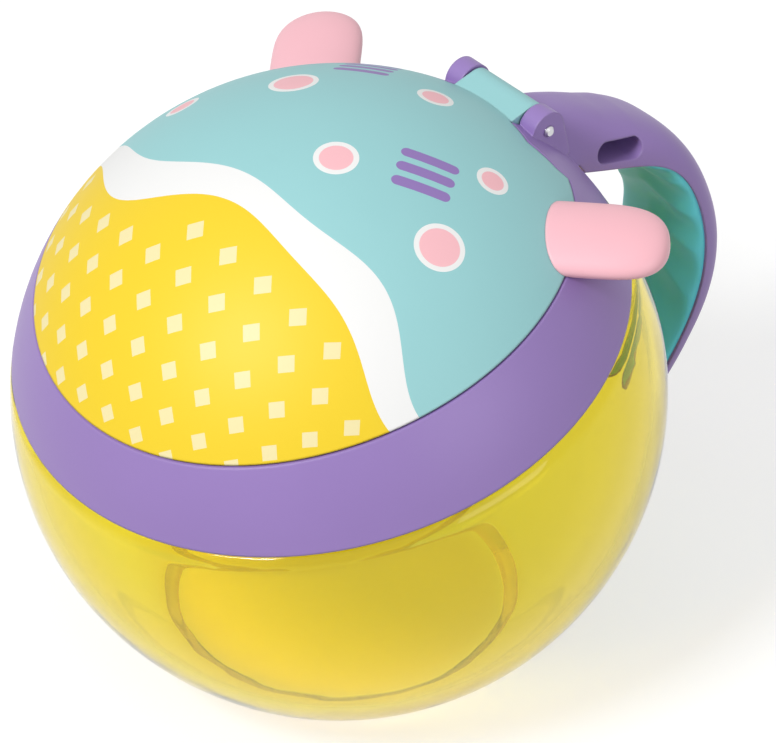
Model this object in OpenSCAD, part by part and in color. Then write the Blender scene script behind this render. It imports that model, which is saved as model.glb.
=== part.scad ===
// Toddler snack container: a clear ball-shaped bowl, a screw-on collar with a
// handle, a star of soft flaps over the mouth and a domed flip lid.
// Millimetres. Z is up, the front of the container looks along -Y and the
// handle is at +Y. The origin is the centre of the flat base.

/* [Ball] */
// Radius of the ball that the bowl, the collar and the lid share
ball_r = 50; // [47:0.5:54]
// Radius of the flat base that the ball stands on
base_r = 26; // [20:0.5:30]
// Forward lean of the mouth
neck_tilt = 13.2; // [9:0.2:16]

/* [Bowl] */
// Wall of the bowl
bowl_wall = 2.2; // [1.6:0.1:3]
// Thickness of the floor of the bowl
floor_t = 2.5; // [1.8:0.1:4]
// Height of the seam between bowl and collar above the ball's centre
seam_h = 16.5; // [14:0.5:18]
// Height of the threaded neck above that seam
neck_h = 5.6; // [5.2:0.1:6.4]
// Wall of the neck
neck_wall = 2; // [1.4:0.1:2.6]

/* [Screw thread] */
// Depth of the thread ribs
thread_depth = 1.3; // [0.9:0.1:1.5]
// Rise of the thread in one turn
thread_lead = 6; // [5.6:0.2:7]
// Length of each rib round the neck, in degrees
thread_span = 125; // [90:5:140]
// Axial width of a rib at its root
thread_root_w = 1.5; // [1.2:0.1:1.6]
// Axial width of a rib at its crest
thread_crest_w = 0.7; // [0.4:0.1:0.8]

/* [Collar] */
// Wall of the collar
collar_wall = 1.7; // [1.4:0.1:2.2]
// Wall of the threaded skirt inside the collar
skirt_wall = 1.3; // [1:0.1:1.5]
// Thickness of the ledge that carries the flaps
ledge_t = 1.4; // [1:0.1:2]
// Width of the ledge inside the rim
ledge_w = 4.4; // [3.6:0.1:5]
// Height of the lid split above the ball's centre, at the sides
rim_h = 30; // [29:0.25:31]
// Radius of the long arch that the lid split follows from front to back
rim_arch_r = 420; // [350:10:600]
// Wall of the rim that the lid closes on
rim_wall = 2; // [1.6:0.1:2.4]

/* [Seal and flaps] */
// Thickness of the seal ring on top of the neck
seal_t = 1.4; // [1:0.1:2]
// Thickness of the ring that the flaps hang on
flap_ring_t = 1.5; // [1.2:0.1:2]
// Thickness of a flap
flap_t = 1.2; // [0.8:0.1:1.4]
// Width of that ring, from the rim to the roots of the flaps
flap_ring_w = 7.5; // [6.5:0.1:8.5]
// Width of the slit between two flaps
flap_slit = 0.5; // [0.3:0.1:1]
// Thickness left in the fold line at the root of a flap
fold_t = 0.6; // [0.4:0.1:0.8]
// Width of the fold line
fold_w = 1.4; // [1:0.1:2]

/* [Lid] */
// Wall of the domed lid
lid_wall = 1.8; // [1.4:0.1:2.4]
// Wall of the plug that centres the lid in the rim
plug_wall = 1.6; // [1.2:0.1:2]
// Height of the plug's foot above the flap ring
plug_lift = 0.5; // [0.3:0.1:0.9]

/* [Hinge] */
// How far the hinge axis lies outside the ball
hinge_out = 0.7; // [0.4:0.1:1.2]
// Height of the hinge axis above the lid split
hinge_rise = 0.4; // [0:0.1:1]
// Radius of the lid's hinge barrel
barrel_r = 2.8; // [2.4:0.1:3]
// Length of the lid's hinge barrel
barrel_l = 13; // [11:0.2:15]
// Radius of the round top of a hinge lug
lug_r = 3.1; // [2.8:0.1:3.4]
// Thickness of a hinge lug
lug_t = 3.2; // [2.5:0.1:4]
// Rise of the collar's saddle above the lid split
saddle_rise = 3.2; // [2.4:0.1:3.6]
// Run of the slope on each side of the saddle
saddle_run = 5.4; // [4:0.2:7]
// Radius of the hinge pin
pin_r = 0.9; // [0.7:0.05:1.2]

/* [Side tabs] */
// Direction of a tab round the neck, counted from the front
tab_angle = 133; // [125:1:140]
// Half width of a tab
tab_half_w = 7.1; // [5:0.25:9]
// Half thickness of a tab
tab_half_t = 3; // [2.4:0.1:3.6]
// Reach of a tab beyond the lid split
tab_out = 14.2; // [12:0.2:17]
// Width of the stem that holds a tab in the lid
stem_w = 7; // [5:0.25:8]
// Thickness of that stem
stem_t = 2.4; // [1.8:0.1:3]

/* [Handle] */
// How far the handle's line stands out behind the ball
handle_out = 16.8; // [15.5:0.2:18.5]
// Half width of the handle where it leaves the collar
root_half_w = 7; // [6:0.25:8]
// Half width of the handle at the grip
grip_half_w = 9.5; // [8:0.25:11]
// Thickness of the handle where it leaves the collar
root_thick = 9.2; // [8:0.2:10]
// Thickness of the rigid part of the handle behind the grip
spine_thick = 4.3; // [3:0.1:5]
// Depth of the soft grip
grip_depth = 3; // [2:0.1:4]
// Number of finger ribs on the grip
grip_ribs = 6; // [4:1:8]
// Depth of the dips between the ribs
rib_dip = 0.7; // [0:0.1:1]
// Length of the strap slot
slot_l = 9; // [6:0.5:10]
// Height of the strap slot
slot_h = 3.5; // [2.5:0.1:4]

/* [Hidden] */
$fn = 96;

// Clearances
seam_gap = 0.3;
face_gap = 0.05;
thread_crest_gap = 0.4;
thread_flank_gap = 0.2;
lid_gap = 0.35;
plug_gap = 0.4;
seat_gap = 0.2;
flap_gap = 0.15;
lug_gap = 0.3;
barrel_gap = 0.4;
pin_running_gap = 0.08;
stem_gap = 0.1;

grip_seam = 0.02;

// Heights above the ball's centre, along the neck axis
centre_h = sqrt(ball_r * ball_r - base_r * base_r);
neck_top = seam_h + neck_h;
ledge_h = neck_top + seal_t + 2 * face_gap;
ledge_top = ledge_h + ledge_t;
plug_foot = ledge_top + flap_ring_t + plug_lift;
hinge_h = rim_h + hinge_rise;
hinge_y = sqrt(pow(ball_r + hinge_out, 2) - hinge_h * hinge_h);

// Radii round the neck axis
collar_bore_r = sqrt(pow(ball_r - collar_wall, 2) - ledge_h * ledge_h);
neck_r = collar_bore_r - thread_crest_gap - thread_depth;
neck_bore_r = neck_r - neck_wall;
rim_bore_r = ball_radius_at(rim_h) - rim_wall;
plug_r = rim_bore_r - plug_gap;
mouth_r = rim_bore_r - ledge_w;
flap_root = rim_bore_r - flap_ring_w;
tab_reach = ball_radius_at(rim_h) + tab_out;

// Depth of the saddle's foot below the lid split
saddle_foot = 1.6;

// Thread: the collar's ribs pull up against the underside of the neck's ribs
thread_starts = 2;
thread_step = 7.5;
thread_offset = (thread_root_w + thread_crest_w) / 2 + thread_flank_gap;
collar_thread_h = seam_h + seam_gap + thread_root_w / 2 + 0.1;
neck_thread_h = collar_thread_h + thread_offset;

// Flaps
flap_count = 8;
flap_half_angle = 180 / flap_count;

// Foot of a tab's stem behind the lid's wall
foot_t = 1.2;
foot_from = 30;
foot_half_w = stem_w / 2 + 1.2;
foot_half_t = stem_t / 2 + 1;

// Handle: the line where its rigid back and its soft grip meet, as
// [distance behind the ball, height, half width, thickness of the back], the first two
// in parts of handle_out
handle_line = [
    [-0.54, 1.12, root_half_w, root_thick],
    [-0.24, 0.93, root_half_w, root_thick],
    [0.06, 0.75, root_half_w + 0.4, root_thick - 0.9],
    [0.39, 0.58, root_half_w + 1.2, root_thick - 2.2],
    [0.69, 0.38, grip_half_w - 0.6, spine_thick + 1.1],
    [0.90, 0.05, grip_half_w, spine_thick + 0.3],
    [1.00, -0.42, grip_half_w, spine_thick + 0.3],
    [0.99, -0.87, grip_half_w, spine_thick + 0.9],
    [0.86, -1.33, grip_half_w - 0.2, spine_thick + 1.1],
    [0.59, -1.78, grip_half_w - 0.8, spine_thick + 0.5],
    [0.17, -2.30, grip_half_w - 2.2, spine_thick - 1.2]
];
line_steps = 4;
section_steps = 14;
section_power = 0.75;
grip_first = 3.2;
grip_last = 9.9;
slot_station = 2.4;
slot_rise = 3.1;

function ball_radius_at(h) = sqrt(ball_r * ball_r - h * h);
function arch_drop(y) = rim_arch_r - sqrt(rim_arch_r * rim_arch_r - y * y);

// Catmull-Rom curve through the rows of a table; s counts rows from 0
function row(table, i) = table[min(max(i, 0), len(table) - 1)];
function curve(table, s) =
    let (i = min(floor(s), len(table) - 2), t = s - i,
         a = row(table, i - 1), b = row(table, i), c = row(table, i + 1), d = row(table, i + 2))
    0.5 * (2 * b + (c - a) * t + (2 * a - 5 * b + 4 * c - d) * t * t
           + (3 * b - a - 3 * c + d) * t * t * t);
function handle_at(s) =
    let (p = curve(handle_line, s))
    [ball_r + handle_out * p[0], handle_out * p[1], p[2], p[3]];
function handle_normal(s) =
    let (e = 0.02, a = handle_at(max(s - e, 0)), b = handle_at(min(s + e, len(handle_line) - 1)),
         l = norm([b[0] - a[0], b[1] - a[1]]))
    [-(b[1] - a[1]) / l, (b[0] - a[0]) / l];

// A closed ring of points across the handle; side 1 is its back, side -1 the grip
function half_oval(half_w, depth, side) =
    [for (k = [0:section_steps])
        let (a = 180 * (side > 0 ? k : section_steps - k) / section_steps)
        [half_w * sign(cos(a)) * pow(abs(cos(a)), section_power),
         side * depth * pow(abs(sin(a)), section_power)]];
function across_handle(s, half_w, depth, side, seam) =
    let (p = handle_at(s), n = handle_normal(s))
    [for (q = half_oval(half_w, depth, side))
        [q[0], p[0] + n[0] * (q[1] + side * seam), p[1] + n[1] * (q[1] + side * seam)]];

// Solid through a list of point rings of equal length, each clockwise as the loft goes
module loft(rings) {
    m = len(rings[0]);
    last = len(rings) - 1;
    points = [for (r = rings) for (p = r) p];
    sides = [for (i = [0:last - 1]) for (j = [0:m - 1])
        let (a = i * m + j, b = i * m + (j + 1) % m)
        each [[a, b, b + m], [a, b + m, a + m]]];
    start = [for (j = [m - 1:-1:0]) j];
    end = [for (j = [0:m - 1]) last * m + j];
    polyhedron(points = points, faces = concat([start], sides, [end]), convexity = 6);
}

// Thread rib that climbs from height h, on the outside of its root if crest_r is larger
module thread_rib(root_r, crest_r, h) {
    steps = round(thread_span / thread_step);
    fade = 2;
    way = sign(crest_r - root_r);
    sink = -0.3 * way;
    loft([for (i = [0:steps])
        let (a = thread_span * i / steps,
             z = h + thread_lead * a / 360,
             full = min(1, (min(i, steps - i) + 0.4) / fade),
             tip_r = root_r + (crest_r - root_r) * full)
        [for (q = [[root_r + sink, -thread_root_w / 2], [tip_r, -thread_crest_w / 2],
                   [tip_r, thread_crest_w / 2], [root_r + sink, thread_root_w / 2]])
            [q[0] * cos(a), q[0] * sin(a), z + way * q[1]]]]);
}

module on_neck_axis() {
    translate([0, 0, centre_h]) rotate([neck_tilt, 0, 0]) children();
}

module ring(outer_r, inner_r, from, to) {
    translate([0, 0, from]) difference() {
        cylinder(r = outer_r, h = to - from);
        translate([0, 0, -1]) cylinder(r = inner_r, h = to - from + 2);
    }
}

// Everything under the arched lid split, lifted by the given gap
module under_split(gap) {
    translate([-2 * ball_r, 0, rim_h - rim_arch_r])
        rotate([0, 90, 0]) cylinder(r = rim_arch_r + gap, h = 4 * ball_r, $fn = 360);
}

// Cylinder along the hinge axis
module along_hinge(r, from, to) {
    translate([from, hinge_y, hinge_h]) rotate([0, 90, 0]) cylinder(r = r, h = to - from, $fn = 64);
}

module bowl() {
    color([0.90, 0.80, 0.18, 0.6]) difference() {
        union() {
            intersection() {
                translate([0, 0, centre_h]) sphere(r = ball_r, $fn = 180);
                translate([-ball_r, -ball_r, 0]) cube(2 * ball_r);
                on_neck_axis() translate([0, 0, seam_h - 3 * ball_r]) cylinder(r = 2 * ball_r, h = 3 * ball_r);
            }
            on_neck_axis() translate([0, 0, seam_h - bowl_wall]) cylinder(r = neck_r, h = neck_h + bowl_wall);
            for (i = [0:thread_starts - 1])
                on_neck_axis() rotate([0, 0, i * 360 / thread_starts])
                    thread_rib(neck_r, neck_r + thread_depth, neck_thread_h);
        }
        intersection() {
            translate([0, 0, centre_h]) sphere(r = ball_r - bowl_wall, $fn = 180);
            translate([-ball_r, -ball_r, floor_t]) cube(2 * ball_r);
            on_neck_axis() translate([0, 0, seam_h - bowl_wall - 3 * ball_r])
                cylinder(r = 2 * ball_r, h = 3 * ball_r);
        }
        on_neck_axis() cylinder(r = neck_bore_r, h = neck_top + 1);
    }
}

module neck_seal() {
    lip = 0.3;
    color([0.93, 0.93, 0.90]) on_neck_axis() {
        ring(collar_bore_r - seat_gap, neck_bore_r + lip, neck_top + face_gap, ledge_h - face_gap);
    }
}

// Collar wall, threaded skirt, ledge and rim, drawn right of the neck axis
module collar_profile() {
    intersection() {
        circle(r = ball_r, $fn = 180);
        union() {
            difference() {
                translate([0, seam_h + seam_gap]) square([ball_r, rim_h + 1 - seam_h - seam_gap]);
                circle(r = ball_r - collar_wall, $fn = 180);
            }
            translate([collar_bore_r, seam_h + 2 * seam_gap])
                square([skirt_wall, ledge_h - seam_h - 2 * seam_gap]);
            translate([mouth_r, ledge_h]) square([ball_r, ledge_t]);
            translate([rim_bore_r, ledge_h]) square([ball_r, rim_h + 1 - ledge_h]);
        }
    }
}

// Raised part of the collar behind the lid that the hinge lugs stand on
module hinge_saddle(gap) {
    top_x = barrel_l / 2 + lug_gap + lug_t + 1.6;
    top = rim_h + saddle_rise + gap;
    translate([0, 2 * ball_r, 0]) rotate([90, 0, 0]) linear_extrude(height = 1.35 * ball_r)
        polygon([[-top_x - saddle_run - saddle_foot, rim_h - saddle_foot], [-top_x - saddle_run, rim_h + gap],
                 [-top_x - gap, top], [top_x + gap, top],
                 [top_x + saddle_run, rim_h + gap], [top_x + saddle_run + saddle_foot, rim_h - saddle_foot],
                 [top_x, ledge_h], [-top_x, ledge_h]]);
}

module hinge_lug(side) {
    inner_x = barrel_l / 2 + lug_gap;
    translate([side > 0 ? inner_x : -inner_x - lug_t, 0, 0]) rotate([90, 0, 90])
        linear_extrude(height = lug_t) {
            translate([hinge_y, hinge_h]) circle(r = lug_r, $fn = 64);
            translate([hinge_y - lug_r, ledge_h]) square([2 * lug_r, hinge_h - ledge_h]);
        }
}

module handle_back() {
    last = len(handle_line) - 1;
    loft([for (i = [0:last * line_steps])
        let (s = i / line_steps, p = handle_at(s))
        across_handle(s, p[2], p[3], 1, 0)]);
}

module strap_slot() {
    p = handle_at(slot_station);
    n = handle_normal(slot_station);
    translate([-2 * root_half_w, p[0] + slot_rise * n[0], p[1] + slot_rise * n[1]])
        rotate([atan2(-n[0], n[1]), 0, 0]) rotate([0, 90, 0])
            linear_extrude(height = 4 * root_half_w) union() {
                square([slot_h, slot_l - slot_h], center = true);
                for (e = [-1, 1]) translate([0, e * (slot_l - slot_h) / 2]) circle(d = slot_h, $fn = 32);
            }
}

module collar() {
    color([0.48, 0.37, 0.66]) on_neck_axis() {
        difference() {
            union() {
                intersection() {
                    rotate_extrude($fn = 180) collar_profile();
                    under_split(0);
                }
                intersection() {
                    difference() {
                        sphere(r = ball_r, $fn = 180);
                        sphere(r = ball_r - collar_wall, $fn = 180);
                    }
                    hinge_saddle(0);
                }
                difference() {
                    union() {
                        for (side = [-1, 1]) hinge_lug(side);
                        handle_back();
                    }
                    sphere(r = ball_r - collar_wall, $fn = 180);
                    intersection() {
                        sphere(r = ball_r + seam_gap, $fn = 180);
                        translate([0, 0, seam_h + seam_gap - 3 * ball_r])
                            cylinder(r = 2 * ball_r, h = 3 * ball_r);
                    }
                }
            }
            along_hinge(barrel_r + barrel_gap, -barrel_l / 2 - lug_gap, barrel_l / 2 + lug_gap);
            translate([-barrel_l / 2 - lug_gap, 0, hinge_h - barrel_r])
                cube([barrel_l + 2 * lug_gap, hinge_y, ball_r]);
            along_hinge(pin_r, -2 * ball_r, 2 * ball_r);
            strap_slot();
        }
        for (i = [0:thread_starts - 1])
            rotate([0, 0, i * 360 / thread_starts])
                thread_rib(collar_bore_r, collar_bore_r - thread_depth, collar_thread_h);
    }
}

module handle_grip() {
    steps = 48;
    color([0.33, 0.66, 0.64]) on_neck_axis()
        loft([for (i = [0:steps])
            let (u = i / steps,
                 s = grip_first + (grip_last - grip_first) * u,
                 p = handle_at(s),
                 swell = pow(sin(180 * min(max(u, 0.004), 0.996)), 0.35),
                 dip = rib_dip * (1 - cos(360 * grip_ribs * u)) / 2)
            across_handle(s, p[2] - 0.3, max(0.15, (grip_depth - dip) * swell), -1, grip_seam)]);
}

module flap_ring() {
    color([0.33, 0.66, 0.64]) on_neck_axis() translate([0, 0, ledge_top]) difference() {
        cylinder(r = rim_bore_r - seat_gap, h = flap_ring_t);
        translate([0, 0, -1]) rotate([0, 0, flap_half_angle])
            cylinder(r = flap_root / cos(flap_half_angle), h = flap_ring_t + 2, $fn = flap_count);
    }
}

module flap(i) {
    bead_r = fold_t / 2;
    root = flap_root - flap_gap - bead_r;
    half_w = root * tan(flap_half_angle) - flap_slit / 2 / cos(flap_half_angle);
    color([0.36, 0.70, 0.68]) on_neck_axis()
        rotate([0, 0, (i - 1) * 2 * flap_half_angle]) translate([0, 0, ledge_top])
            union() {
                difference() {
                    linear_extrude(height = flap_t)
                        polygon([[flap_slit / 2 / sin(flap_half_angle), 0], [root, -half_w], [root, half_w]]);
                    translate([root - fold_w, -ball_r, fold_t]) cube([fold_w + 1, 2 * ball_r, flap_t]);
                }
                translate([root, half_w, bead_r]) rotate([90, 0, 0]) cylinder(r = bead_r, h = 2 * half_w, $fn = 32);
            }
}

// Slot or stem through the lid at a tab, and the wider foot behind it
module tab_stem(half_w, half_t, from, to) {
    translate([from, 0, rim_h + 1.9]) rotate([90, 0, 90]) linear_extrude(height = to - from) union() {
        square([2 * (half_w - half_t), 2 * half_t], center = true);
        for (e = [-1, 1]) translate([e * (half_w - half_t), 0]) circle(r = half_t, $fn = 48);
    }
}

module at_tab(side) {
    rotate([0, 0, side > 0 ? tab_angle - 90 : 270 - tab_angle]) children();
}

module tab_lobe() {
    root = 5;
    from = ball_radius_at(rim_h) - root;
    steps = 16;
    around = 24;
    droop = 0.16;
    loft([for (i = [0:steps])
        let (u = i / steps, x = from + (tab_reach - from) * sin(90 * u),
             round_off = pow(max(1 - pow((x - from) / (tab_reach - from), 3), 0.0004), 0.5),
             mid = rim_h + 0.3 - droop * (x - from - root))
        [for (k = [0:around - 1])
            let (a = -360 * k / around)
            [x, tab_half_w * round_off * cos(a), mid + tab_half_t * pow(round_off, 0.8) * sin(a)]]]);
}

module tab(side) {
    color([0.96, 0.70, 0.76]) on_neck_axis() at_tab(side) {
        difference() {
            tab_lobe();
            sphere(r = ball_r + face_gap, $fn = 180);
            intersection() {
                sphere(r = ball_r + lid_gap, $fn = 180);
                under_split(lid_gap);
            }
        }
        difference() {
            intersection() {
                tab_stem(stem_w / 2, stem_t / 2, foot_from, tab_reach);
                sphere(r = ball_r + 1.2, $fn = 180);
            }
            sphere(r = ball_r - lid_wall - face_gap - foot_t, $fn = 180);
        }
        difference() {
            intersection() {
                tab_stem(foot_half_w, foot_half_t, foot_from, tab_reach);
                sphere(r = ball_r - lid_wall - face_gap, $fn = 180);
            }
            sphere(r = ball_r - lid_wall - face_gap - foot_t, $fn = 180);
        }
    }
}

module lid() {
    color([0.57, 0.80, 0.81]) on_neck_axis() {
        difference() {
            union() {
                difference() {
                    union() {
                        difference() {
                            intersection() {
                                sphere(r = ball_r, $fn = 180);
                                translate([0, 0, seam_h]) cylinder(r = ball_r, h = ball_r);
                            }
                            sphere(r = ball_r - lid_wall, $fn = 180);
                            under_split(lid_gap);
                        }
                        intersection() {
                            ring(plug_r, plug_r - plug_wall, plug_foot, ball_r);
                            sphere(r = ball_r - lid_wall / 2, $fn = 180);
                        }
                    }
                    difference() {
                        hinge_saddle(lid_gap);
                        translate([-barrel_l / 2, 0, 0]) cube([barrel_l, ball_r, ball_r]);
                    }
                }
                difference() {
                    translate([-barrel_l / 2, 0, hinge_h]) cube([barrel_l, hinge_y, barrel_r]);
                    sphere(r = ball_r - lid_wall, $fn = 180);
                }
                along_hinge(barrel_r, -barrel_l / 2, barrel_l / 2);
            }
            for (side = [-1, 1])
                along_hinge(lug_r + lug_gap, side > 0 ? barrel_l / 2 : -barrel_l / 2 - lug_t - 2 * lug_gap,
                            side > 0 ? barrel_l / 2 + lug_t + 2 * lug_gap : -barrel_l / 2);
            along_hinge(pin_r + pin_running_gap, -barrel_l, barrel_l);
            for (side = [-1, 1]) {
                at_tab(side) tab_stem(stem_w / 2 + stem_gap, stem_t / 2 + stem_gap, foot_from, tab_reach);
                intersection() {
                    at_tab(side)
                        tab_stem(foot_half_w + stem_gap, foot_half_t + stem_gap, foot_from, tab_reach);
                    sphere(r = ball_r - lid_wall, $fn = 180);
                }
            }
        }
    }
}

module hinge_pin() {
    half_l = barrel_l / 2 + lug_gap + lug_t + 0.2;
    edge = 0.3;
    color([0.78, 0.78, 0.80]) on_neck_axis() {
        along_hinge(pin_r, -half_l, half_l);
        for (side = [-1, 1])
            translate([side * half_l, hinge_y, hinge_h]) rotate([0, side * 90, 0])
                cylinder(r1 = pin_r, r2 = pin_r - edge, h = edge, $fn = 64);
    }
}

bowl();
neck_seal();
collar();
handle_grip();
flap_ring();
flap(1);  // flap_1
flap(2);  // flap_2
flap(3);  // flap_3
flap(4);  // flap_4
flap(5);  // flap_5
flap(6);  // flap_6
flap(7);  // flap_7
flap(8);  // flap_8
lid();
tab(1);  // tab_right
tab(-1);  // tab_left
hinge_pin();
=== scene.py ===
import math
import bpy
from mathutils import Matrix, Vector


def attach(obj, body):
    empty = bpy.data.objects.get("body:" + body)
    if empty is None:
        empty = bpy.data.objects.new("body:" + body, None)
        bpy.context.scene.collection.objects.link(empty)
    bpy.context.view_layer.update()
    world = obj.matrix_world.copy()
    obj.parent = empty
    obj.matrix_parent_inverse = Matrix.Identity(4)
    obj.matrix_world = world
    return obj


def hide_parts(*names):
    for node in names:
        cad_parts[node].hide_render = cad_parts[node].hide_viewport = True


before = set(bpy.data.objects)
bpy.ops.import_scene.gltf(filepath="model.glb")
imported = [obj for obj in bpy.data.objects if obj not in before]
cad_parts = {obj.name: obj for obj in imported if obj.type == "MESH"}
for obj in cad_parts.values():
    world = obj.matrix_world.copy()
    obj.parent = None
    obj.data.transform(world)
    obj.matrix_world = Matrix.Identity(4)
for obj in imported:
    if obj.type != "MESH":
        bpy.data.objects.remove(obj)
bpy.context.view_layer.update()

# Camera. It stands where the photograph was taken from: 60 cm from the middle of the ball, to the right
# of the lid's front and above it, with a long lens.
ball_centre = Vector((0, 0, 0.042708))
azimuth, elevation = math.radians(49.83), math.radians(37.88)
cam_distance, cam_right, cam_down = 0.60022, 0.00741, -0.00309
right = Vector((math.cos(azimuth), math.sin(azimuth), 0))
ahead = Vector((-math.cos(elevation) * math.sin(azimuth), math.cos(elevation) * math.cos(azimuth),
                -math.sin(elevation)))
down = ahead.cross(right)
bpy.ops.object.camera_add(location=ball_centre + right * cam_right + down * cam_down - ahead * cam_distance,
                          rotation=(math.pi / 2 - elevation, 0, azimuth))
camera = bpy.context.object
camera.name = "camera"
camera.data.sensor_width = 36
camera.data.lens = 182.7
bpy.context.scene.camera = camera
bpy.context.scene.view_settings.view_transform = "Standard"

# Bowl. A blow-moulded ball of clear yellow plastic, 2.2 mm thick, with a flat foot. Its shoulder steps in at
# the seam to a neck with two thread ribs, which the collar screws on.
ball_r = 0.05
neck_lean = math.radians(13.2)
neck_axis = Vector((0, -math.sin(neck_lean), math.cos(neck_lean)))
seam_h, neck_r, neck_top = 0.0165, 0.04044, 0.0221
wall, neck_wall, floor_t = 0.0022, 0.002, 0.0025
foot_round, shoulder_round, hollow_round = 0.004, 0.0026, 0.003
thread_span, thread_lead, thread_h = math.radians(125), 0.006, 0.01895
rib_root, rib_crest, rib_sunk, rib_proud = 0.00075, 0.00035, 0.0003, 0.0013


def only(piece):
    """Makes the piece the one that the operators act on."""
    bpy.ops.object.select_all(action="DESELECT")
    piece.select_set(True)
    bpy.context.view_layer.objects.active = piece


def draw(primitive, **values):
    """Adds a mesh shape with nothing else selected."""
    bpy.ops.object.select_all(action="DESELECT")
    primitive(**values)
    return bpy.context.object


def lean(piece):
    """Turns a piece drawn round an upright neck axis at the origin into its place on the ball."""
    only(piece)
    piece.rotation_euler = (neck_lean, 0, 0)
    piece.location = ball_centre
    bpy.ops.object.transform_apply(location=True, rotation=True, scale=True)


def apply_modifier(piece, kind, **values):
    """Puts a modifier on the piece and makes what it does part of the mesh."""
    only(piece)
    modifier = piece.modifiers.new(kind.lower(), kind)
    for name, value in values.items():
        setattr(modifier, name, value)
    bpy.ops.object.modifier_apply(modifier=modifier.name)


def soften(piece, width, segments=2, angle=35):
    """Rounds the piece's edges as a mould does, and shades it smooth between them."""
    apply_modifier(piece, "BEVEL", width=width, segments=segments, limit_method="ANGLE",
                   angle_limit=math.radians(angle), use_clamp_overlap=True)
    only(piece)
    bpy.ops.object.shade_smooth_by_angle(angle=math.radians(angle))


def close_up():
    """Joins the points that meet on the shape just drawn, fills what is open and turns its faces outwards."""
    bpy.ops.object.mode_set(mode="EDIT")
    bpy.ops.mesh.select_all(action="SELECT")
    bpy.ops.mesh.remove_doubles(threshold=0.000001)
    bpy.ops.mesh.fill_holes(sides=0)
    bpy.ops.mesh.normals_make_consistent(inside=False)
    bpy.ops.object.mode_set(mode="OBJECT")


def cut(piece, other, operation="DIFFERENCE"):
    """Cuts the other piece out of this one, or joins it on, and removes the other."""
    apply_modifier(piece, "BOOLEAN", operation=operation, object=other, solver="EXACT")
    bpy.data.objects.remove(other)


def ball_with_neck(name, radius, foot, foot_edge, shoulder_h, shoulder_edge, neck, top):
    """A solid ball with a flat foot, whose rounded shoulder steps in at the given height to a leaning neck."""
    piece = draw(bpy.ops.mesh.primitive_uv_sphere_add, segments=160, ring_count=100, radius=radius,
                 location=ball_centre)
    piece.name = name
    bpy.ops.object.transform_apply(location=True, rotation=True, scale=True)
    arc_r = radius - shoulder_edge
    first = math.asin((shoulder_h - shoulder_edge) / arc_r)
    rings = [(radius * math.cos(first), radius * math.sin(first))]  # radius and height round the neck axis
    for k in range(1, 9):
        rise = first + (math.pi / 2 - first) * k / 8
        rings.append((arc_r * math.cos(first) + shoulder_edge * math.cos(rise),
                      arc_r * math.sin(first) + shoulder_edge * math.sin(rise)))
    rings += [(neck, shoulder_h), (neck, top)]
    bpy.ops.object.mode_set(mode="EDIT")
    bpy.ops.mesh.select_all(action="SELECT")
    bpy.ops.mesh.bisect(plane_co=(0, 0, foot), plane_no=(0, 0, 1), use_fill=True, clear_inner=True)
    bpy.ops.mesh.bevel(offset=foot_edge, segments=6, affect="EDGES")
    bpy.ops.mesh.select_all(action="SELECT")
    bpy.ops.mesh.bisect(plane_co=ball_centre + neck_axis * rings[0][1], plane_no=neck_axis, clear_outer=True)
    for (r, h), (next_r, next_h) in zip(rings, rings[1:]):
        bpy.ops.mesh.extrude_region_move(TRANSFORM_OT_translate={"value": neck_axis * (next_h - h)})
        bpy.ops.transform.resize(value=(next_r / r,) * 3, center_override=ball_centre + neck_axis * next_h)
    bpy.ops.mesh.edge_face_add()
    bpy.ops.mesh.select_all(action="SELECT")
    bpy.ops.mesh.remove_doubles(threshold=0.00001)
    bpy.ops.mesh.normals_make_consistent(inside=False)
    bpy.ops.object.mode_set(mode="OBJECT")
    return piece


def thread_rib(name, root_r, crest_r, low, turn):
    """One rib of the screw thread: a small tapered section spun round the neck axis while it climbs."""
    piece = draw(bpy.ops.mesh.primitive_plane_add, size=1)
    piece.name = name
    for corner, spot in zip(piece.data.vertices, ((root_r, -rib_root), (crest_r, -rib_crest), (root_r, rib_root),
                                                  (crest_r, rib_crest))):
        corner.co = (spot[0], 0, spot[1])
    bpy.ops.object.mode_set(mode="EDIT")
    bpy.ops.mesh.select_all(action="SELECT")
    bpy.ops.mesh.spin(steps=40, angle=thread_span, center=(0, 0, 0), axis=(0, 0, 1))
    bpy.ops.object.mode_set(mode="OBJECT")
    close_up()
    for corner in piece.data.vertices:
        round_by = abs(math.atan2(corner.co.y, corner.co.x)) / thread_span
        near_end = min(1, min(round_by, 1 - round_by) * 8 + 0.2)  # its ends fade over a tenth of its run
        reach = root_r + (math.hypot(corner.co.x, corner.co.y) - root_r) * near_end
        corner.co = Vector((corner.co.x, corner.co.y, 0)).normalized() * reach \
            + Vector((0, 0, corner.co.z + low + thread_lead * round_by * thread_span / math.tau))
    piece.rotation_euler = (0, 0, turn)
    bpy.ops.object.transform_apply(location=True, rotation=True, scale=True)
    lean(piece)
    return piece


bowl = ball_with_neck("bowl_shell", ball_r, 0, foot_round, seam_h, shoulder_round, neck_r, neck_top)
for turn in (0, math.pi):
    cut(bowl, thread_rib("rib", neck_r - rib_sunk, neck_r + rib_proud, thread_h, turn), "UNION")
cut(bowl, ball_with_neck("hollow", ball_r - wall, floor_t, hollow_round, seam_h - wall, hollow_round,
                         neck_r - neck_wall, neck_top + 0.002))
only(bowl)
bpy.ops.object.shade_smooth_by_angle(angle=math.radians(35))

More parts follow.
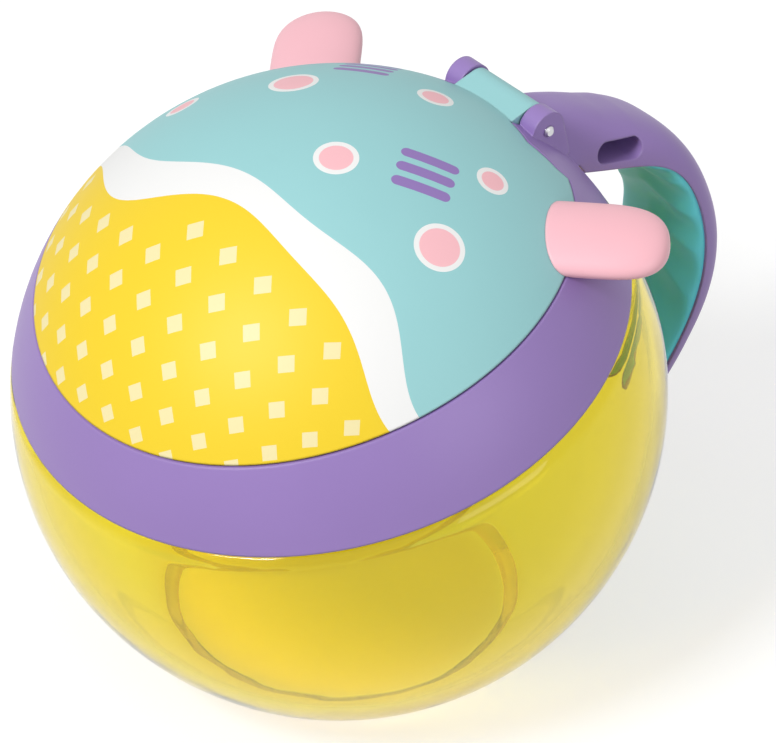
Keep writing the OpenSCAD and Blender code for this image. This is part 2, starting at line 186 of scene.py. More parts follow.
bowl_clear = bpy.data.materials.new("clear_yellow")
bowl_clear.use_nodes = True
tree = bowl_clear.node_tree
glass = tree.nodes["Principled BSDF"]
glass.inputs["Roughness"].default_value = 0.015
glass.inputs["IOR"].default_value = 1.45
glass.inputs["Specular IOR Level"].default_value = 0.25
glass.inputs["Transmission Weight"].default_value = 1.0
place = tree.nodes.new("ShaderNodeTexCoord")
flow = tree.nodes.new("ShaderNodeTexNoise")
flow.inputs["Scale"].default_value = 55
flow.inputs["Detail"].default_value = 2
ripple = tree.nodes.new("ShaderNodeBump")
ripple.inputs["Strength"].default_value = 0.25
ripple.inputs["Distance"].default_value = 0.0004
tree.links.new(place.outputs["Object"], flow.inputs["Vector"])
tree.links.new(flow.outputs["Fac"], ripple.inputs["Height"])
tree.links.new(ripple.outputs["Normal"], glass.inputs["Normal"])
height = tree.nodes.new("ShaderNodeSeparateXYZ")  # the thick foot is painted a deeper yellow than the wall: painted shade, for the shaded paper seen through it
foot_shade_zone = tree.nodes.new("ShaderNodeMapRange")
foot_shade_zone.inputs["From Min"].default_value = 0.0034
foot_shade_zone.inputs["From Max"].default_value = 0.0024
# painted shade: B is the deeper yellow painted on the foot
painted_foot_shade = tree.nodes.new("ShaderNodeMix")
painted_foot_shade.data_type = "RGBA"
painted_foot_shade.inputs["A"].default_value = (1.0, 0.98, 0.85, 1)
painted_foot_shade.inputs["B"].default_value = (1.0, 0.94, 0.35, 1)
tree.links.new(place.outputs["Object"], height.inputs["Vector"])
tree.links.new(height.outputs["Z"], foot_shade_zone.inputs["Value"])
tree.links.new(foot_shade_zone.outputs["Result"], painted_foot_shade.inputs["Factor"])
tree.links.new(painted_foot_shade.outputs["Result"], glass.inputs["Base Color"])
tint = tree.nodes.new("ShaderNodeVolumeAbsorption")
tint.inputs["Color"].default_value = (0.960, 0.926, 0.0, 1)
tint.inputs["Density"].default_value = 900
let_through = tree.nodes.new("ShaderNodeBsdfTransparent")
let_through.inputs["Color"].default_value = (0.95, 0.95, 0.93, 1)
ray = tree.nodes.new("ShaderNodeLightPath")
either = tree.nodes.new("ShaderNodeMixShader")
tree.links.new(ray.outputs["Is Shadow Ray"], either.inputs["Fac"])
tree.links.new(glass.outputs["BSDF"], either.inputs[1])
tree.links.new(let_through.outputs["BSDF"], either.inputs[2])
out = tree.nodes["Material Output"]
tree.links.new(either.outputs["Shader"], out.inputs["Surface"])
tree.links.new(tint.outputs["Volume"], out.inputs["Volume"])
bowl.data.materials.clear()
bowl.data.materials.append(bowl_clear)
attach(bowl, "bowl")
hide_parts("bowl")

# Seal. A soft ring of silicone rubber with rounded edges. It lies on top of the neck, where the collar's
# ledge presses on it.
seal_outer, seal_inner, seal_low, seal_t = 0.04194, 0.03874, 0.02215, 0.0014


def flat_ring(name, outer, inner, low, thick, vertices, edge):
    """A ring round the neck axis, drawn as a circle, widened, thickened and rounded."""
    piece = draw(bpy.ops.mesh.primitive_circle_add, vertices=vertices, radius=outer, location=(0, 0, low))
    piece.name = name
    bpy.ops.object.transform_apply(location=True, rotation=True, scale=True)
    bpy.ops.object.mode_set(mode="EDIT")
    bpy.ops.mesh.select_all(action="SELECT")
    bpy.ops.mesh.extrude_region_move(TRANSFORM_OT_translate={"value": (0, 0, 0)})
    bpy.ops.transform.resize(value=(inner / outer, inner / outer, 1), center_override=(0, 0, low))
    bpy.ops.mesh.select_all(action="SELECT")
    bpy.ops.mesh.normals_make_consistent(inside=False)
    bpy.ops.object.mode_set(mode="OBJECT")
    if piece.data.polygons[0].normal.z > 0:
        piece.data.flip_normals()
    apply_modifier(piece, "SOLIDIFY", thickness=thick, offset=-1)
    soften(piece, edge, 3)
    return piece


seal = flat_ring("seal_ring", seal_outer, seal_inner, seal_low, seal_t, 128, 0.0005)
lean(seal)

# The face that a mould leaves on plastic and rubber: fine grain, faint clouds of tone, and edges that are a little
# round and painted a lighter tone, a painted highlight. All the opaque pieces have it.
face = bpy.data.node_groups.new("moulded_face", "ShaderNodeTree")
for name, value in (("Grain Scale", 2400.0), ("Grain Depth", 0.2), ("Edge Radius", 0.0003)):
    face.interface.new_socket(name, in_out="INPUT", socket_type="NodeSocketFloat").default_value = value
face.interface.new_socket("Cloud", in_out="OUTPUT", socket_type="NodeSocketFloat")
face.interface.new_socket("Edge", in_out="OUTPUT", socket_type="NodeSocketFloat")
face.interface.new_socket("Normal", in_out="OUTPUT", socket_type="NodeSocketVector")
given = face.nodes.new("NodeGroupInput")
given_out = face.nodes.new("NodeGroupOutput")
place = face.nodes.new("ShaderNodeTexCoord")
grain = face.nodes.new("ShaderNodeTexNoise")
grain.inputs["Detail"].default_value = 2
cloud = face.nodes.new("ShaderNodeTexNoise")
cloud.inputs["Scale"].default_value = 40
cloud.inputs["Detail"].default_value = 3
rounded = face.nodes.new("ShaderNodeBevel")
rounded.samples = 6
bump = face.nodes.new("ShaderNodeBump")
bump.inputs["Distance"].default_value = 0.00005
plain = face.nodes.new("ShaderNodeNewGeometry")
turn = face.nodes.new("ShaderNodeVectorMath")
turn.operation = "DOT_PRODUCT"
# The Edge output marks the rounded edges, where the materials paint a highlight.
edge = face.nodes.new("ShaderNodeMapRange")
edge.inputs["From Min"].default_value = 1.0
edge.inputs["From Max"].default_value = 0.8
for a, b in ((place.outputs["Object"], grain.inputs["Vector"]), (place.outputs["Object"], cloud.inputs["Vector"]),
             (given.outputs["Grain Scale"], grain.inputs["Scale"]),
             (given.outputs["Grain Depth"], bump.inputs["Strength"]),
             (given.outputs["Edge Radius"], rounded.inputs["Radius"]),
             (grain.outputs["Fac"], bump.inputs["Height"]),
             (rounded.outputs["Normal"], bump.inputs["Normal"]), (rounded.outputs["Normal"], turn.inputs[0]),
             (plain.outputs["Normal"], turn.inputs[1]), (turn.outputs["Value"], edge.inputs["Value"]),
             (cloud.outputs["Fac"], given_out.inputs["Cloud"]), (edge.outputs["Result"], given_out.inputs["Edge"]),
             (bump.outputs["Normal"], given_out.inputs["Normal"])):
    face.links.new(a, b)


def moulded(name, dark, light, edge_highlight, rough, grain_scale, grain_depth, edge_radius):
    """A moulded finish: clouds between a darker and a lighter tone, and a lighter tone painted on the edges as a
    highlight.
    """
    gloss_play = 0.05
    made = bpy.data.materials.new(name)
    made.use_nodes = True
    tree = made.node_tree
    shader = tree.nodes["Principled BSDF"]
    skin = tree.nodes.new("ShaderNodeGroup")
    skin.node_tree = face
    skin.inputs["Grain Scale"].default_value = grain_scale
    skin.inputs["Grain Depth"].default_value = grain_depth
    skin.inputs["Edge Radius"].default_value = edge_radius
    tone = tree.nodes.new("ShaderNodeMix")
    tone.data_type = "RGBA"
    tone.inputs[6].default_value = (*dark, 1)
    tone.inputs[7].default_value = (*light, 1)
    # painted highlight: the edges are mixed towards the lighter edge tone
    edge_highlight_mix = tree.nodes.new("ShaderNodeMix")
    edge_highlight_mix.name = "edge_highlight_mix"
    edge_highlight_mix.data_type = "RGBA"
    edge_highlight_mix.inputs[7].default_value = (*edge_highlight, 1)
    gloss = tree.nodes.new("ShaderNodeMapRange")
    gloss.inputs["To Min"].default_value = rough - gloss_play
    gloss.inputs["To Max"].default_value = rough + gloss_play
    for a, b in ((skin.outputs["Cloud"], tone.inputs[0]), (tone.outputs[2], edge_highlight_mix.inputs[6]),
                 (skin.outputs["Edge"], edge_highlight_mix.inputs[0]), (edge_highlight_mix.outputs[2], shader.inputs["Base Color"]),
                 (skin.outputs["Cloud"], gloss.inputs["Value"]),
                 (gloss.outputs["Result"], shader.inputs["Roughness"]),
                 (skin.outputs["Normal"], shader.inputs["Normal"])):
        tree.links.new(a, b)
    return made


# Each finish's third colour is the lighter tone painted on its edges as a highlight.
rubber = moulded("silicone", (0.74, 0.74, 0.71), (0.84, 0.84, 0.81), (0.88, 0.88, 0.86), 0.5, 1800, 0.2, 0.0002)
rubber_shader = rubber.node_tree.nodes["Principled BSDF"]
rubber_shader.inputs["Subsurface Weight"].default_value = 0.3
rubber_shader.inputs["Subsurface Scale"].default_value = 0.002
seal.data.materials.append(rubber)
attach(seal, "seal")
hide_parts("neck_seal")

# Collar. One moulding of purple plastic: the screw ring, the rim that the lid closes on, the hinge lugs and
# the rigid back of the handle.
handle_line = (  # millimetres behind the neck axis, height, half width, thickness of the back
    (40.93, 18.82, 7.0, 9.2), (45.97, 15.62, 7.0, 9.2), (51.01, 12.60, 7.4, 8.3), (56.55, 9.74, 8.2, 7.0),
    (61.59, 6.38, 8.9, 5.4), (65.12, 0.84, 9.5, 4.6), (66.80, -7.06, 9.5, 4.6), (66.63, -14.62, 9.5, 5.2),
    (64.45, -22.34, 9.3, 5.4), (59.91, -29.90, 8.7, 4.8), (52.86, -38.64, 7.3, 3.1))
last_row = len(handle_line) - 1
proud, arm_lift = 0.22, 0.06  # millimetres that the back stands over the CAD's, and off the parting line
oval_part, bluntness = 0.75, 0.75  # how much of a section's run is its oval, and how boxy that is


def handle_at(s):
    """Place, half width and thickness at the handle's parting line, on a smooth curve through its table."""
    i = min(int(s), last_row - 1)
    t = s - i
    a, b, c, d = (Vector(handle_line[min(max(k, 0), last_row)]) for k in (i - 1, i, i + 1, i + 2))
    return 0.5 * (2 * b + (c - a) * t + (2 * a - 5 * b + 4 * c - d) * t ** 2 + (3 * b - a - 3 * c + d) * t ** 3)


def fair_handle_at(s):
    """The same, evened out over a row on each side, so that the back runs without waves."""
    reach = min(0.9, s, last_row - s)
    near = [handle_at(s + reach * k / 6) * (7 - abs(k)) for k in range(-6, 7)]
    return sum(near, Vector((0, 0, 0, 0))) / 49


def handle_back(s, reach):
    """The way that points backwards out of the handle, square to its line."""
    step = handle_at(min(s + reach, last_row)) - handle_at(max(s - reach, 0))
    return Vector((-step.y, step.x)).normalized()


def blunt_half_oval(around, half_w):
    """Place sideways and share of the depth, for a way round a half oval and back along its flat side."""
    if around < oval_part:
        turn = math.pi * around / oval_part
        return (half_w * math.copysign(abs(math.cos(turn)) ** bluntness, math.cos(turn)),
                abs(math.sin(turn)) ** bluntness)
    return half_w * (2 * (around - oval_part) / (1 - oval_part) - 1), 0


arm = draw(bpy.ops.mesh.primitive_grid_add, x_subdivisions=160, y_subdivisions=56, size=2, location=(0, 0, 0))
arm.name = "handle_back"
for corner in arm.data.vertices:
    s = last_row * (corner.co.x + 1) / 2
    line = fair_handle_at(s)
    back = handle_back(s, 0.1)
    side, crest = blunt_half_oval((corner.co.y + 1) / 2, line.z + proud)
    depth = (line.w + proud) * crest + arm_lift
    corner.co = Vector((side, line.x + back.x * depth, line.y + back.y * depth)) / 1000
close_up()


def sphere_tool(radius):
    """A ball round the middle of the bowl's ball, for a piece that isn't leaned yet."""
    return draw(bpy.ops.mesh.primitive_uv_sphere_add, segments=128, ring_count=80, radius=radius,
                location=(0, 0, 0))


def sphere_below(radius, height):
    """The part of a ball under a height, to keep a piece clear of what the ball holds there."""
    tool = sphere_tool(radius)
    bpy.ops.object.mode_set(mode="EDIT")
    bpy.ops.mesh.select_all(action="SELECT")
    bpy.ops.mesh.bisect(plane_co=(0, 0, height), plane_no=(0, 0, 1), use_fill=True, clear_outer=True)
    bpy.ops.object.mode_set(mode="OBJECT")
    return tool


hinge_y, hinge_h, barrel_half, barrel_gap_r = 0.040575, 0.0304, 0.0068, 0.0032
notch_drop, notch_h = 0.0028, 0.05
sunk, play, through = 0.0009, 0.0003, 0.04  # its root in the collar, its play over the bowl, a cut's length
cut(arm, sphere_tool(ball_r - sunk))
cut(arm, sphere_below(ball_r + play, seam_h + play))
cut(arm, draw(bpy.ops.mesh.primitive_cylinder_add, vertices=64, radius=barrel_gap_r, depth=2 * barrel_half,
              location=(0, hinge_y, hinge_h), rotation=(0, math.pi / 2, 0)))
cut(arm, draw(bpy.ops.mesh.primitive_cube_add, size=1, scale=(2 * barrel_half, hinge_y, notch_h),
              location=(0, hinge_y / 2, hinge_h - notch_drop + notch_h / 2)))

# The slot for a strap runs through the handle near its root, and has round ends.
slot_at, slot_l, slot_half_h, slot_rise = 2.4, 0.009, 0.00177, 0.0031
slot = handle_at(slot_at)
slot_back = handle_back(slot_at, 0.02)
slot_turn = math.atan2(-slot_back.x, slot_back.y)
slot_middle = Vector((0, slot.x / 1000 + slot_rise * slot_back.x, slot.y / 1000 + slot_rise * slot_back.y))
slot_way = Vector((0, slot_back.y, -slot_back.x))
for end in (-1, 0, 1):
    if end:
        tool = draw(bpy.ops.mesh.primitive_cylinder_add, vertices=48, radius=slot_half_h, depth=through,
                    rotation=(0, math.pi / 2, 0),
                    location=slot_middle + slot_way * end * (slot_l / 2 - slot_half_h))
    else:
        tool = draw(bpy.ops.mesh.primitive_cube_add, size=1, location=slot_middle, rotation=(slot_turn, 0, 0),
                    scale=(through, slot_l - 2 * slot_half_h, 2 * slot_half_h))
    cut(arm, tool)
lean(arm)

# The rest of the collar keeps the drawn shape, and the smooth back is joined on to it.
collar = bpy.data.objects.new("collar_shell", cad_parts["collar"].data.copy())
bpy.context.scene.collection.objects.link(collar)
only(collar)
bpy.ops.mesh.customdata_custom_splitnormals_clear()
bpy.ops.object.mode_set(mode="EDIT")
bpy.ops.mesh.select_all(action="SELECT")
bpy.ops.mesh.remove_doubles(threshold=0.000002)
bpy.ops.object.mode_set(mode="OBJECT")
cut(collar, arm, "UNION")
only(collar)
bpy.ops.object.shade_smooth_by_angle(angle=math.radians(32))
purple = moulded("purple_plastic", (0.262, 0.168, 0.432), (0.292, 0.190, 0.474), (0.33, 0.225, 0.51),
                 0.42, 2600, 0.22, 0.0005)
collar.data.materials.clear()
collar.data.materials.append(purple)
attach(collar, "collar")
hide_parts("collar")

# Grip. A soft teal rubber pad moulded on the inner side of the handle, with slanting ribs for small fingers.
# Its teal is bluer than the rubber's own: painted light that cancels the yellow light the bowl throws on it.
grip_teal = moulded("soft_teal", (0.10, 0.62, 0.73), (0.13, 0.68, 0.79), (0.17, 0.73, 0.82),
                    0.45, 2200, 0.3, 0.0003)
grip_from, grip_to = 3.2, 9.9  # rows of the handle's table
grip_depth, grip_least, grip_inset, grip_lift = 3.0, 0.15, 0.3, 0.02  # millimetres
grip_ribs, rib_dip, rib_slant = 6, 1.0, 0.10
grip = draw(bpy.ops.mesh.primitive_grid_add, x_subdivisions=180, y_subdivisions=48, size=2, location=(0, 0, 0))
grip.name = "grip_pad"
for corner in grip.data.vertices:
    lengthways = (corner.co.x + 1) / 2
    s = grip_from + (grip_to - grip_from) * lengthways
    line = handle_at(s)
    back = handle_back(s, 0.02)
    half_w = line.z - grip_inset
    side, crest = blunt_half_oval((corner.co.y + 1) / 2, half_w)
    swell = math.sin(math.pi * min(max(lengthways, 0.004), 0.996)) ** 0.35
    slant = lengthways - rib_slant * abs(side) / half_w
    dip = rib_dip * (0.5 - 0.5 * math.cos(math.tau * grip_ribs * slant)) ** 0.6
    depth = max(grip_least, (grip_depth - dip) * swell) * crest + grip_lift
    corner.co = Vector((side, line.x - back.x * depth, line.y - back.y * depth)) / 1000
close_up()
bpy.ops.object.shade_smooth_by_angle(angle=math.radians(50))
lean(grip)
grip.data.materials.append(grip_teal)
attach(grip, "collar")
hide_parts("handle_grip")

# Hinge pin. A short steel pin, pressed into both lugs of the collar, that the lid's barrel turns on.
steel = moulded("steel", (0.55, 0.55, 0.57), (0.66, 0.66, 0.68), (0.8, 0.8, 0.8), 0.3, 3000, 0.15, 0.0001)
steel.node_tree.nodes["Principled BSDF"].inputs["Metallic"].default_value = 1.0
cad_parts["hinge_pin"].data.materials.clear()
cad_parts["hinge_pin"].data.materials.append(steel)

# Flap ring. A soft ring that lies on the collar's ledge, with an eight-sided opening that the flaps hang in.
ring_outer, ring_inner, ring_low, ring_t = 0.0378, 0.029, 0.025, 0.0015
opening, eighth, soft_edge = 0.0305, math.pi / 8, 0.0002
flap_ring = flat_ring("flap_seat", ring_outer, ring_inner, ring_low, ring_t, 160, 0.0003)
cut(flap_ring, draw(bpy.ops.mesh.primitive_cylinder_add, vertices=8, radius=opening / math.cos(eighth), depth=0.01,
                    location=(0, 0, ring_low), rotation=(0, 0, eighth)))
soften(flap_ring, soft_edge, 2, 60)
lean(flap_ring)
flap_ring.data.materials.append(grip_teal)
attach(flap_ring, "collar")
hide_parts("flap_ring")

# Flaps. Eight soft wedges that close the mouth like a star, each with a groove at its root that it folds on.
flap_root, flap_t, fold_t, fold_w, fold_ramp, slit = 0.03005, 0.0012, 0.0006, 0.0014, 0.0005, 0.0005
flap = draw(bpy.ops.mesh.primitive_cylinder_add, vertices=8, radius=flap_root / math.cos(eighth), depth=flap_t,
            location=(0, 0, ring_low + flap_t / 2), rotation=(0, 0, eighth))
flap.name = "flap_leaf_1"
bpy.ops.object.transform_apply(location=True, rotation=True, scale=True)
bpy.ops.object.mode_set(mode="EDIT")
for way in (1, -1):
    bpy.ops.mesh.select_all(action="SELECT")
    bpy.ops.mesh.bisect(plane_co=(slit / 2 / math.sin(eighth), 0, 0),
                        plane_no=(-math.sin(eighth), way * math.cos(eighth), 0), use_fill=True, clear_outer=True)
for back_by in (fold_w, fold_w + fold_ramp):
    bpy.ops.mesh.select_all(action="SELECT")
    bpy.ops.mesh.bisect(plane_co=(flap_root - back_by, 0, 0), plane_no=(1, 0, 0))
bpy.ops.object.mode_set(mode="OBJECT")
for corner in flap.data.vertices:
    if corner.co.x > flap_root - fold_w - 0.0001 and corner.co.z > ring_low + fold_t:
        corner.co.z = ring_low + fold_t
soften(flap, soft_edge, 3)
flaps = [flap]
for i in range(2, 9):
    another = flap.copy()
    another.data = flap.data.copy()
    another.name = f"flap_leaf_{i}"
    another.rotation_euler = (0, 0, (i - 1) * 2 * eighth)
    bpy.context.scene.collection.objects.link(another)
    flaps.append(another)
for i, leaf in enumerate(flaps, 1):
    only(leaf)
    bpy.ops.object.transform_apply(location=True, rotation=True, scale=True)
    lean(leaf)
    leaf.data.materials.append(grip_teal)
    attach(leaf, f"flap_{i}")
    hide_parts(f"flap_{i}")

# Lid. A thin dome of teal plastic with a plug ring inside and a hinge tongue behind, printed on its outside
# with a wavy shore of yellow and white, rows of small diamonds, ringed dots and a few short bars.
print_group = bpy.data.node_groups.new("lid_print", "ShaderNodeTree")
print_group.interface.new_socket("Ground", in_out="INPUT", socket_type="NodeSocketColor")
print_group.interface.new_socket("Color", in_out="OUTPUT", socket_type="NodeSocketColor")


def reckon(operation, *values):
    """One sum in the print, on numbers or on what other nodes give."""
    made = print_group.nodes.new("ShaderNodeMath")
    made.operation = operation
    for socket, value in zip(made.inputs, values):
        if isinstance(value, (int, float)):
            socket.default_value = value
        else:
            print_group.links.new(value, socket)
    return made.outputs[0]


def wave(u):
    """The line that the yellow shore ends on, for a place u across the lid: a long and a short wave."""
    long_wave = reckon("MULTIPLY", reckon("SINE", reckon("MULTIPLY_ADD", u, 4.6, 0.5)), 0.085)
    short_wave = reckon("MULTIPLY", reckon("SINE", reckon("MULTIPLY_ADD", u, 9.5, 2.0)), 0.025)
    return reckon("ADD", reckon("ADD", long_wave, short_wave), -0.26)


place = print_group.nodes.new("ShaderNodeTexCoord")
upright = print_group.nodes.new("ShaderNodeMapping")
upright.vector_type = "TEXTURE"
upright.inputs["Location"].default_value = ball_centre
upright.inputs["Rotation"].default_value = (neck_lean, 0, 0)
upright.inputs["Scale"].default_value = (ball_r, ball_r, ball_r)
parts = print_group.nodes.new("ShaderNodeSeparateXYZ")
print_group.links.new(place.outputs["Object"], upright.inputs["Vector"])
print_group.links.new(upright.outputs["Vector"], parts.inputs["Vector"])
spread = reckon("DIVIDE", 2.0, reckon("ADD", parts.outputs["Z"], 1.0))
u = reckon("MULTIPLY", parts.outputs["X"], spread)
v = reckon("MULTIPLY", parts.outputs["Y"], spread)
flat = print_group.nodes.new("ShaderNodeCombineXYZ")
print_group.links.new(u, flat.inputs["X"])
print_group.links.new(v, flat.inputs["Y"])
shore = wave(u)
surf_width = reckon("MULTIPLY_ADD", reckon("SINE", reckon("MULTIPLY_ADD", u, 6.3, 4.0)), 0.035, 0.13)
below_surf = reckon("LESS_THAN", v, reckon("ADD", shore, surf_width))
below_shore = reckon("LESS_THAN", v, shore)

# Diamonds in staggered rows, left out where the shore line would cut them.
cell_u, cell_v = 0.15, 0.13
row = reckon("FLOOR", reckon("DIVIDE", v, cell_v))
stagger = reckon("MULTIPLY", reckon("FLOORED_MODULO", row, 2.0), 0.5)
along = reckon("ADD", reckon("DIVIDE", u, cell_u), stagger)
column = reckon("FLOOR", along)
from_u = reckon("ABSOLUTE", reckon("SUBTRACT", reckon("SUBTRACT", along, column), 0.5))
from_v = reckon("ABSOLUTE", reckon("SUBTRACT", reckon("SUBTRACT", reckon("DIVIDE", v, cell_v), row), 0.5))
in_diamond = reckon("LESS_THAN", reckon("ADD", reckon("MULTIPLY", from_u, 1.25), from_v), 0.3)
middle_u = reckon("MULTIPLY", reckon("SUBTRACT", reckon("ADD", column, 0.5), stagger), cell_u)
middle_v = reckon("MULTIPLY", reckon("ADD", row, 0.5), cell_v)
clear_of_shore = reckon("LESS_THAN", reckon("ADD", middle_v, 0.07), wave(middle_u))
diamond = reckon("MULTIPLY", in_diamond, clear_of_shore)

# Ringed dots, scattered over the teal.
dot, halo = 0.0, 0.0
halo_width = 0.017
for spot, size in (((-0.30, 0.30), 0.062), ((0.13, 0.12), 0.05), ((0.56, 0.16), 0.066), ((0.02, 0.62), 0.045),
                   ((0.44, 0.50), 0.04), ((-0.62, 0.06), 0.045)):
    away = print_group.nodes.new("ShaderNodeVectorMath")
    away.operation = "DISTANCE"
    away.inputs[1].default_value = (*spot, 0)
    print_group.links.new(flat.outputs["Vector"], away.inputs[0])
    dot = reckon("MAXIMUM", dot, reckon("LESS_THAN", away.outputs["Value"], size))
    halo = reckon("MAXIMUM", halo, reckon("LESS_THAN", away.outputs["Value"], size + halo_width))

# Short bars with round ends, side by side on a slant.
bar_turn = math.radians(35)
bar_gap, bar_r, bar_half = 0.062, 0.019, 0.075
bar = 0.0
cos_turn, sin_turn = math.cos(bar_turn), math.sin(bar_turn)
for spot, count in (((-0.33, 0.64), 4), ((0.33, 0.30), 3)):
    across_u = reckon("SUBTRACT", u, spot[0])
    across_v = reckon("SUBTRACT", v, spot[1])
    lengthways = reckon("ADD", reckon("MULTIPLY", across_u, cos_turn), reckon("MULTIPLY", across_v, sin_turn))
    sideways = reckon("SUBTRACT", reckon("MULTIPLY", across_v, cos_turn), reckon("MULTIPLY", across_u, sin_turn))
    nearest = reckon("MAXIMUM", reckon("ROUND", reckon("DIVIDE", sideways, bar_gap)), -(count // 2))
    nearest = reckon("MINIMUM", nearest, (count - 1) // 2)
    off_side = reckon("SUBTRACT", sideways, reckon("MULTIPLY", nearest, bar_gap))
    off_end = reckon("MAXIMUM", reckon("SUBTRACT", reckon("ABSOLUTE", lengthways), bar_half), 0.0)
    off = reckon("SQRT", reckon("ADD", reckon("MULTIPLY", off_side, off_side),
                                reckon("MULTIPLY", off_end, off_end)))
    bar = reckon("MAXIMUM", bar, reckon("LESS_THAN", off, bar_r))

# The print covers the dome's outside only, not the tongue or the inside.
printed_from = 0.985  # of the ball's radius
from_middle = print_group.nodes.new("ShaderNodeVectorMath")
from_middle.operation = "LENGTH"
print_group.links.new(upright.outputs["Vector"], from_middle.inputs[0])
outside = reckon("GREATER_THAN", from_middle.outputs["Value"], printed_from)
given = print_group.nodes.new("NodeGroupInput")
given_out = print_group.nodes.new("NodeGroupOutput")
paint = given.outputs["Ground"]
white, yellow, cream, rose, violet = ((0.80, 0.80, 0.79), (0.80, 0.57, 0.018), (0.80, 0.70, 0.37),
                                      (0.86, 0.47, 0.51), (0.262, 0.168, 0.432))
for mask, colour in ((below_surf, white), (below_shore, yellow), (reckon("MULTIPLY", diamond, below_shore), cream),
                     (halo, white), (dot, rose), (bar, violet)):
    layer = print_group.nodes.new("ShaderNodeMix")
    layer.data_type = "RGBA"
    layer.inputs[7].default_value = (*colour, 1)
    print_group.links.new(reckon("MULTIPLY", mask, outside), layer.inputs[0])
    print_group.links.new(paint, layer.inputs[6])
    paint = layer.outputs[2]
print_group.links.new(paint, given_out.inputs["Color"])

teal = moulded("teal_plastic", (0.275, 0.545, 0.56), (0.305, 0.585, 0.60), (0.38, 0.66, 0.67),
               0.5, 2400, 0.10, 0.0004)
tree = teal.node_tree
tree.nodes["Principled BSDF"].inputs["Specular IOR Level"].default_value = 0.35
pattern = tree.nodes.new("ShaderNodeGroup")
pattern.node_tree = print_group
tree.links.new(tree.nodes["edge_highlight_mix"].outputs[2], pattern.inputs["Ground"])
tree.links.new(pattern.outputs["Color"], tree.nodes["Principled BSDF"].inputs["Base Color"])
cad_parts["lid"].data.materials.clear()
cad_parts["lid"].data.materials.append(teal)

# Tabs. Two soft pink lobes that lift the lid, each held by a stem through the lid's wall.
pink = moulded("soft_pink", (0.85, 0.445, 0.50), (0.89, 0.49, 0.55), (0.92, 0.57, 0.62), 0.45, 2000, 0.2, 0.0004)
tab_from, tab_reach, tab_half_w, tab_half_t = 0.029, 0.0542, 0.0071, 0.0031
tab_h, tab_h_at, tab_droop, tab_low = 0.0303, 0.040, 0.16, 0.0295
tab_play, tab_play_below, tab_turn = 0.00005, 0.00035, math.radians(43)
stem_h, stem_out, stem_half_w, stem_half_t = 0.0319, 0.0405, 0.0035, 0.0011
foot_in, foot_out, foot_half_w, foot_half_t = 0.030, 0.042, 0.0047, 0.0022
foot_depth, foot_back_depth = 0.00185, 0.00305  # both faces of the foot, under the ball's surface
tab = draw(bpy.ops.mesh.primitive_uv_sphere_add, segments=64, ring_count=48, radius=1, location=(0, 0, 0))
tab.name = "side_tab_right"
half_l = (tab_reach - tab_from) / 2
for corner in tab.data.vertices:
    along, wide, thick = corner.co.z, corner.co.x, corner.co.y
    outline = max(1 - abs(along) ** 4, 0) ** 0.42
    girth = max(math.hypot(wide, thick), 1e-6)
    x = tab_from + half_l * (1 + along)
    middle = tab_h - tab_droop * (x - tab_h_at)
    corner.co = (x, tab_half_w * outline * wide / girth, middle + tab_half_t * outline ** 0.8 * thick / girth)
bpy.ops.object.mode_set(mode="EDIT")
bpy.ops.mesh.select_all(action="SELECT")
bpy.ops.mesh.normals_make_consistent(inside=False)
bpy.ops.object.mode_set(mode="OBJECT")


def bar_tool(from_x, to_x, half_w, half_t):
    """A bar with round edges that runs out from the neck axis at the height of the tab's stem."""
    bar_piece = draw(bpy.ops.mesh.primitive_cube_add, size=1, location=((from_x + to_x) / 2, 0, stem_h),
                     scale=(to_x - from_x, 2 * half_w, 2 * half_t))
    bpy.ops.object.transform_apply(location=True, rotation=True, scale=True)
    apply_modifier(bar_piece, "BEVEL", width=half_t * 0.8, segments=4)
    return bar_piece


cut(tab, sphere_tool(ball_r + tab_play))
cut(tab, sphere_below(ball_r + tab_play_below, tab_low))
foot = bar_tool(foot_in, foot_out, foot_half_w, foot_half_t)
cut(foot, sphere_tool(ball_r - foot_depth), "INTERSECT")
cut(foot, bar_tool(foot_in, stem_out, stem_half_w, stem_half_t), "UNION")
cut(foot, sphere_tool(ball_r - foot_back_depth))
cut(tab, foot, "UNION")
soften(tab, 0.0004, 3, 40)
tab.data.materials.append(pink)
left = tab.copy()
left.data = tab.data.copy()
left.name = "side_tab_left"
bpy.context.scene.collection.objects.link(left)
for piece, turn, node in ((tab, tab_turn, "tab_right"), (left, math.pi - tab_turn, "tab_left")):
    piece.rotation_euler = (0, 0, turn)
    only(piece)
    bpy.ops.object.transform_apply(location=True, rotation=True, scale=True)
    lean(piece)
    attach(piece, "lid")
    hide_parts(node)

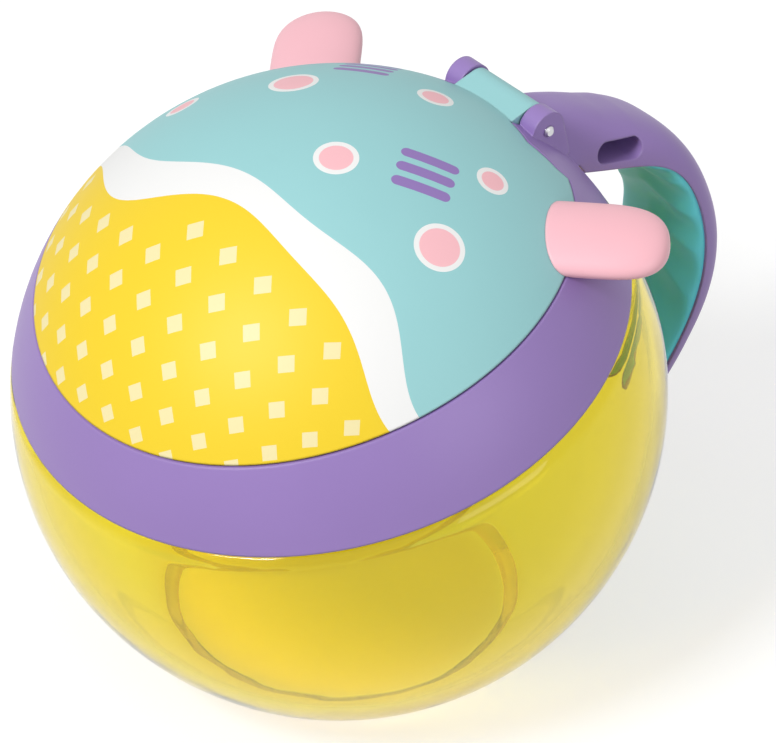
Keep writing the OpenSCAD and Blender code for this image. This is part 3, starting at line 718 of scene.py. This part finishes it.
# Floor. A wide white sheet that shows white to the camera and in gloss and glass, and keeps the part's shadow.
def seen_directly(tree):
    """1 for what the camera sees, also in gloss or through glass, and 0 for the light that falls on things."""
    ray = tree.nodes.new("ShaderNodeLightPath")
    seen = ray.outputs["Is Camera Ray"]
    for name in ("Is Glossy Ray", "Is Transmission Ray"):
        either = tree.nodes.new("ShaderNodeMath")
        either.operation = "MAXIMUM"
        tree.links.new(seen, either.inputs[0])
        tree.links.new(ray.outputs[name], either.inputs[1])
        seen = either.outputs[0]
    return seen


floor = draw(bpy.ops.mesh.primitive_plane_add, size=8, location=(0, 0, -0.0001))
floor.name = "floor"
paper = bpy.data.materials.new("white_paper")
paper.use_nodes = True
tree = paper.node_tree
sheet = tree.nodes["Principled BSDF"]
sheet.inputs["Base Color"].default_value = (0.48, 0.48, 0.48, 1)
sheet.inputs["Roughness"].default_value = 0.8
sheet.inputs["Specular IOR Level"].default_value = 0.0
sheet.inputs["Emission Color"].default_value = (1, 1, 1, 1)
glow = tree.nodes.new("ShaderNodeMath")
glow.operation = "MULTIPLY"
glow.inputs[1].default_value = 0.60
tree.links.new(seen_directly(tree), glow.inputs[0])
tree.links.new(glow.outputs[0], sheet.inputs["Emission Strength"])
floor.data.materials.append(paper)

# Light. A white tent, a soft lamp high at the left of the camera and a larger, weaker one low at the right.
tent_light, tent_seen = 0.50, 1.0
world = bpy.data.worlds.new("tent")
bpy.context.scene.world = world
world.use_nodes = True
tree = world.node_tree
sky = tree.nodes["Background"]
sky.inputs["Color"].default_value = (1, 1, 1, 1)
level = tree.nodes.new("ShaderNodeMapRange")
level.inputs["To Min"].default_value = tent_light
level.inputs["To Max"].default_value = tent_seen
tree.links.new(seen_directly(tree), level.inputs["Value"])
tree.links.new(level.outputs["Result"], sky.inputs["Strength"])
for name, spot, size, power in (("key", (0.04, -0.78, 0.90), 0.3, 9.4), ("side", (0.85, 0.10, 0.40), 0.5, 1.4)):
    bpy.ops.object.light_add(type="AREA", location=spot)
    lamp = bpy.context.object
    lamp.name = name
    lamp.data.size = size
    lamp.data.energy = power
    lamp.rotation_euler = (ball_centre - Vector(spot)).to_track_quat("-Z", "Y").to_euler()
